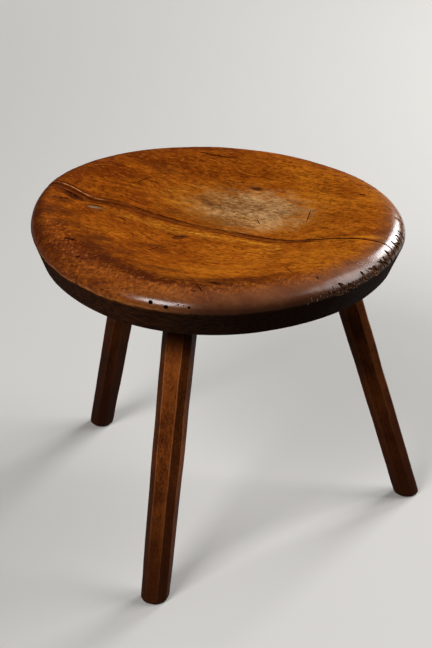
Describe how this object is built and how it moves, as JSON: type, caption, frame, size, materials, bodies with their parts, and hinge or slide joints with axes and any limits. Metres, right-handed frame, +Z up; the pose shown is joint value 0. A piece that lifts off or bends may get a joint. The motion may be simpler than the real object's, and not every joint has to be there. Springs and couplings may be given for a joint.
{
  "type": "three-legged stool",
  "caption": "Low wooden stool: a thick, hollowed seat of joined boards with a rolled rim, on splayed eight-sided legs tenoned into its underside, for sitting close to the floor.",
  "frame": {"origin": "on the floor, at the middle of the stool's footprint", "axes": "+Z up; +X along the joint between the seat's boards, which is the way of its grain; +Y from the front leg towards the two others"},
  "size_m": [0.397, 0.4054, 0.3356],
  "materials": {
    "seat_wood": "old waxed hardwood, worn and darkened at the rim",
    "leg_wood": "dark waxed hardwood, shaved flats",
    "peg_wood": "bare hardwood"
  },
  "bodies": {
    "root": {"seat_front_board": "seat_wood", "seat_rear_board": "seat_wood", "leg_front": "leg_wood", "leg_right": "leg_wood", "leg_left": "leg_wood", "dowel_left": "peg_wood", "dowel_centre": "peg_wood", "dowel_right": "peg_wood", "wedge_front": "peg_wood", "wedge_right": "peg_wood", "wedge_left": "peg_wood"}
  },
  "joints": []
}
